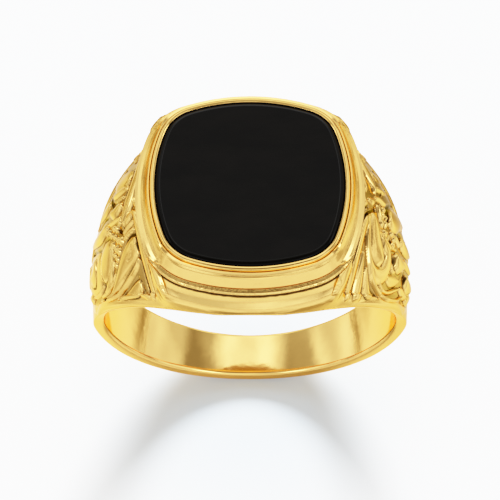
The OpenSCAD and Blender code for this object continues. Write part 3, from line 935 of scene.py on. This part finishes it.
# deep is the colour of painted shade that each gold takes in its hollows
hoop_gold = gold("hoop_gold", deep=(0.9, 0.52, 0.18), rough=0.07, peel=0.012, peel_scale=0.8)
shoulder_gold = gold("shoulder_gold", deep=DEEP_GOLD, rough=0.11, peel=0.012, peel_scale=1.6)
relief_gold = gold("relief_gold", deep=DEEP_GOLD, rough=0.09, peel=0.008, peel_scale=2.2)
head_gold = gold("head_gold", deep=(0.8, 0.46, 0.14), rough=0.1, peel=0.014, peel_scale=1.1)
collar_gold = gold("collar_gold", deep=(0.9, 0.6, 0.22), rough=0.1, peel=0.035, peel_scale=5.0)
lip_gold = gold("lip_gold", deep=(0.85, 0.47, 0.15), rough=0.06, peel=0.012, peel_scale=1.8)


def add_piece(obj, material, slot, *nodes):
    """Gives a finished piece its material, parents it to the root body and hides the CAD nodes it stands
    for.
    """
    obj.data.materials.append(material)
    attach(obj, "root")
    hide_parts(*nodes)
    return obj


add_piece(build_hoop(), hoop_gold, "band_gold", "shank")
for side, word in ((-1, "left"), (1, "right")):
    plate, relief = build_shoulder(side, word)
    add_piece(plate, shoulder_gold, "shoulder_gold", "shoulder_" + word)
    add_piece(relief, relief_gold, "relief_gold", "scrollwork_" + word)
add_piece(build_plinth(), head_gold, "head_gold", "plinth")
add_piece(build_collar(), collar_gold, "head_gold", "collar")
add_piece(build_bezel(), head_gold, "head_gold", "bezel")
add_piece(build_lip(), lip_gold, "lip_gold", "bezel_lip")
stone = add_piece(build_stone(), onyx("onyx", gloss=0.028), "onyx", "stone")
stone.data.materials.append(onyx("onyx_edge", gloss=0.1))

for node, material in (("bearing", head_gold), ("stone_bed", cement())):
    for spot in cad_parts[node].material_slots:
        spot.material = material


# ------------------------------------------------------------ table, studio light and camera
TABLE_HALF, TABLE_Z = 0.6, -10.45 * MM

ROOM, DIMMEST = 0.68, 0.02  # brightness of the room between its panels, and the least anywhere
# panels as direction, cosine where the light starts, cosine where it is full, brightness added
PANELS = [
    [(0.0, 0.5, 0.86), 0.88, 0.98, 2.4],
    [(0.0, -1.0, 0.2), 0.78, 0.95, 1.35],
    [(0.0, -0.5, 0.86), 0.93, 0.98, -0.4],
    [(-0.84, 0.5, 0.18), 0.90, 0.96, 1.4],
    [(0.84, 0.5, 0.18), 0.90, 0.96, 1.4],
    [(-0.72, -0.55, 0.4), 0.90, 0.95, 1.2],
    [(0.72, -0.55, 0.4), 0.90, 0.95, 1.2],
    [(0.0, 1.0, 0.2), 0.8, 0.93, 1.7],
    [(-0.95, 0.05, 0.3), 0.982, 0.993, 5.0],
    [(0.95, 0.05, 0.3), 0.982, 0.993, 5.0],
    [(-0.45, -0.8, 0.4), 0.982, 0.993, 5.0],
    [(0.45, -0.8, 0.4), 0.982, 0.993, 5.0],
]

KEY_WATTS, KEY_SIZE, KEY_DISTANCE = 72.0, 0.42, 1.2
KEY_TOWARD = Vector((0.08, 0.9, 0.43))

CAMERA_DISTANCE, VIEW_WIDTH, SENSOR = 0.8, 0.03268, 36
CAMERA_AIM, CAMERA_TOWARD = Vector((0, 1.776, 1.042)) * MM, Vector((0, -0.506, 0.8625))

FILM_WHITE = 6.0
FILM_STOPS = [0.0, 0.02, 0.05, 0.1, 0.16, 0.24, 0.34, 0.46, 0.6, 0.8, 1.0]


def build_table():
    """Flat table that the ring stands on."""
    mesh = bpy.data.meshes.new("table_top")
    corners = [(x * TABLE_HALF, y * TABLE_HALF, TABLE_Z) for x, y in ((-1, -1), (1, -1), (1, 1), (-1, 1))]
    mesh.from_pydata(corners, [], [[0, 1, 2, 3]])
    obj = in_scene("table_top", mesh)
    obj.data.materials.append(table_white())


def studio():
    """Light tent: an even room with soft panels in front, behind and at the sides, and duller patches."""
    world = bpy.data.worlds.new("studio")
    world.use_nodes = True
    tree = world.node_tree
    tree.nodes.clear()
    out = tree.nodes.new("ShaderNodeOutputWorld")
    back = tree.nodes.new("ShaderNodeBackground")
    coord = tree.nodes.new("ShaderNodeTexCoord").outputs["Generated"]

    def panel(toward, cos_edge, cos_full, level):
        """Soft-edged disc of light seen in one direction."""
        dot = tree.nodes.new("ShaderNodeVectorMath")
        dot.operation = "DOT_PRODUCT"
        dot.inputs[1].default_value = Vector(toward).normalized()
        tree.links.new(coord, dot.inputs[0])
        step = tree.nodes.new("ShaderNodeMapRange")
        step.interpolation_type = "SMOOTHSTEP"
        step.inputs["From Min"].default_value = cos_edge
        step.inputs["From Max"].default_value = cos_full
        step.inputs["To Max"].default_value = level
        tree.links.new(dot.outputs["Value"], step.inputs["Value"])
        return step.outputs["Result"]

    def math_of(operation, a, b):
        """Arithmetic on a socket and a socket or a number."""
        node = tree.nodes.new("ShaderNodeMath")
        node.operation = operation
        tree.links.new(a, node.inputs[0])
        if isinstance(b, float):
            node.inputs[1].default_value = b
        else:
            tree.links.new(b, node.inputs[1])
        return node.outputs[0]

    total = panel(*PANELS[0])
    for values in PANELS[1:]:
        total = math_of("ADD", total, panel(*values))
    clutter = tree.nodes.new("ShaderNodeTexNoise")
    clutter.inputs["Scale"].default_value = 2.2
    clutter.inputs["Detail"].default_value = 1.0
    tree.links.new(coord, clutter.inputs["Vector"])
    gaps = tree.nodes.new("ShaderNodeMapRange")
    gaps.inputs["From Min"].default_value = 0.38
    gaps.inputs["From Max"].default_value = 0.62
    gaps.inputs["To Min"].default_value = 0.62
    gaps.inputs["To Max"].default_value = 1.25
    tree.links.new(clutter.outputs["Fac"], gaps.inputs["Value"])
    broken = math_of("MULTIPLY", math_of("ADD", total, ROOM), gaps.outputs["Result"])
    level = math_of("MAXIMUM", broken, DIMMEST)
    tree.links.new(level, back.inputs["Strength"])
    warmth = ramp(tree, level, [(0.3, (1, 0.86, 0.62)), (1.0, (1, 0.995, 0.985))])
    tree.links.new(warmth, back.inputs["Color"])
    tree.links.new(back.outputs[0], out.inputs["Surface"])
    bpy.context.scene.world = world


def key_light():
    """Soft round lamp behind the ring. It lights the table and stays out of the reflections."""
    data = bpy.data.lights.new("key", "AREA")
    data.shape = "DISK"
    data.size = KEY_SIZE
    data.energy = KEY_WATTS
    obj = in_scene("key", data)
    toward = KEY_TOWARD.normalized()
    obj.location = toward * KEY_DISTANCE
    obj.rotation_euler = toward.to_track_quat("Z", "Y").to_euler()
    obj.visible_glossy = False


def camera():
    """Long lens looking down from the front, as for a catalogue picture."""
    data = bpy.data.cameras.new("camera")
    data.sensor_width = SENSOR
    data.lens = SENSOR * CAMERA_DISTANCE / VIEW_WIDTH
    data.clip_start, data.clip_end = 0.1, 5
    obj = in_scene("camera", data)
    toward = CAMERA_TOWARD.normalized()
    obj.location = CAMERA_AIM + toward * CAMERA_DISTANCE
    obj.rotation_euler = toward.to_track_quat("Z", "Y").to_euler()
    bpy.context.scene.camera = obj


def film():
    """Soft shoulder to the highlights, as a camera gives."""
    view = bpy.context.scene.view_settings
    view.view_transform, view.look = "Standard", "None"
    view.exposure, view.gamma = 0.0, 1.0
    view.use_curve_mapping = True
    mapping = view.curve_mapping
    mapping.use_clip = False
    mapping.white_level = [FILM_WHITE] * 3
    curve = mapping.curves[3]
    while len(curve.points) < len(FILM_STOPS):
        curve.points.new(0.5, 0.5)
    for point, x in zip(curve.points, FILM_STOPS):
        point.location = (x, 1 - math.exp(-x * FILM_WHITE))
    mapping.update()


build_table()
studio()
key_light()
camera()
film()

bpy.context.view_layer.update()
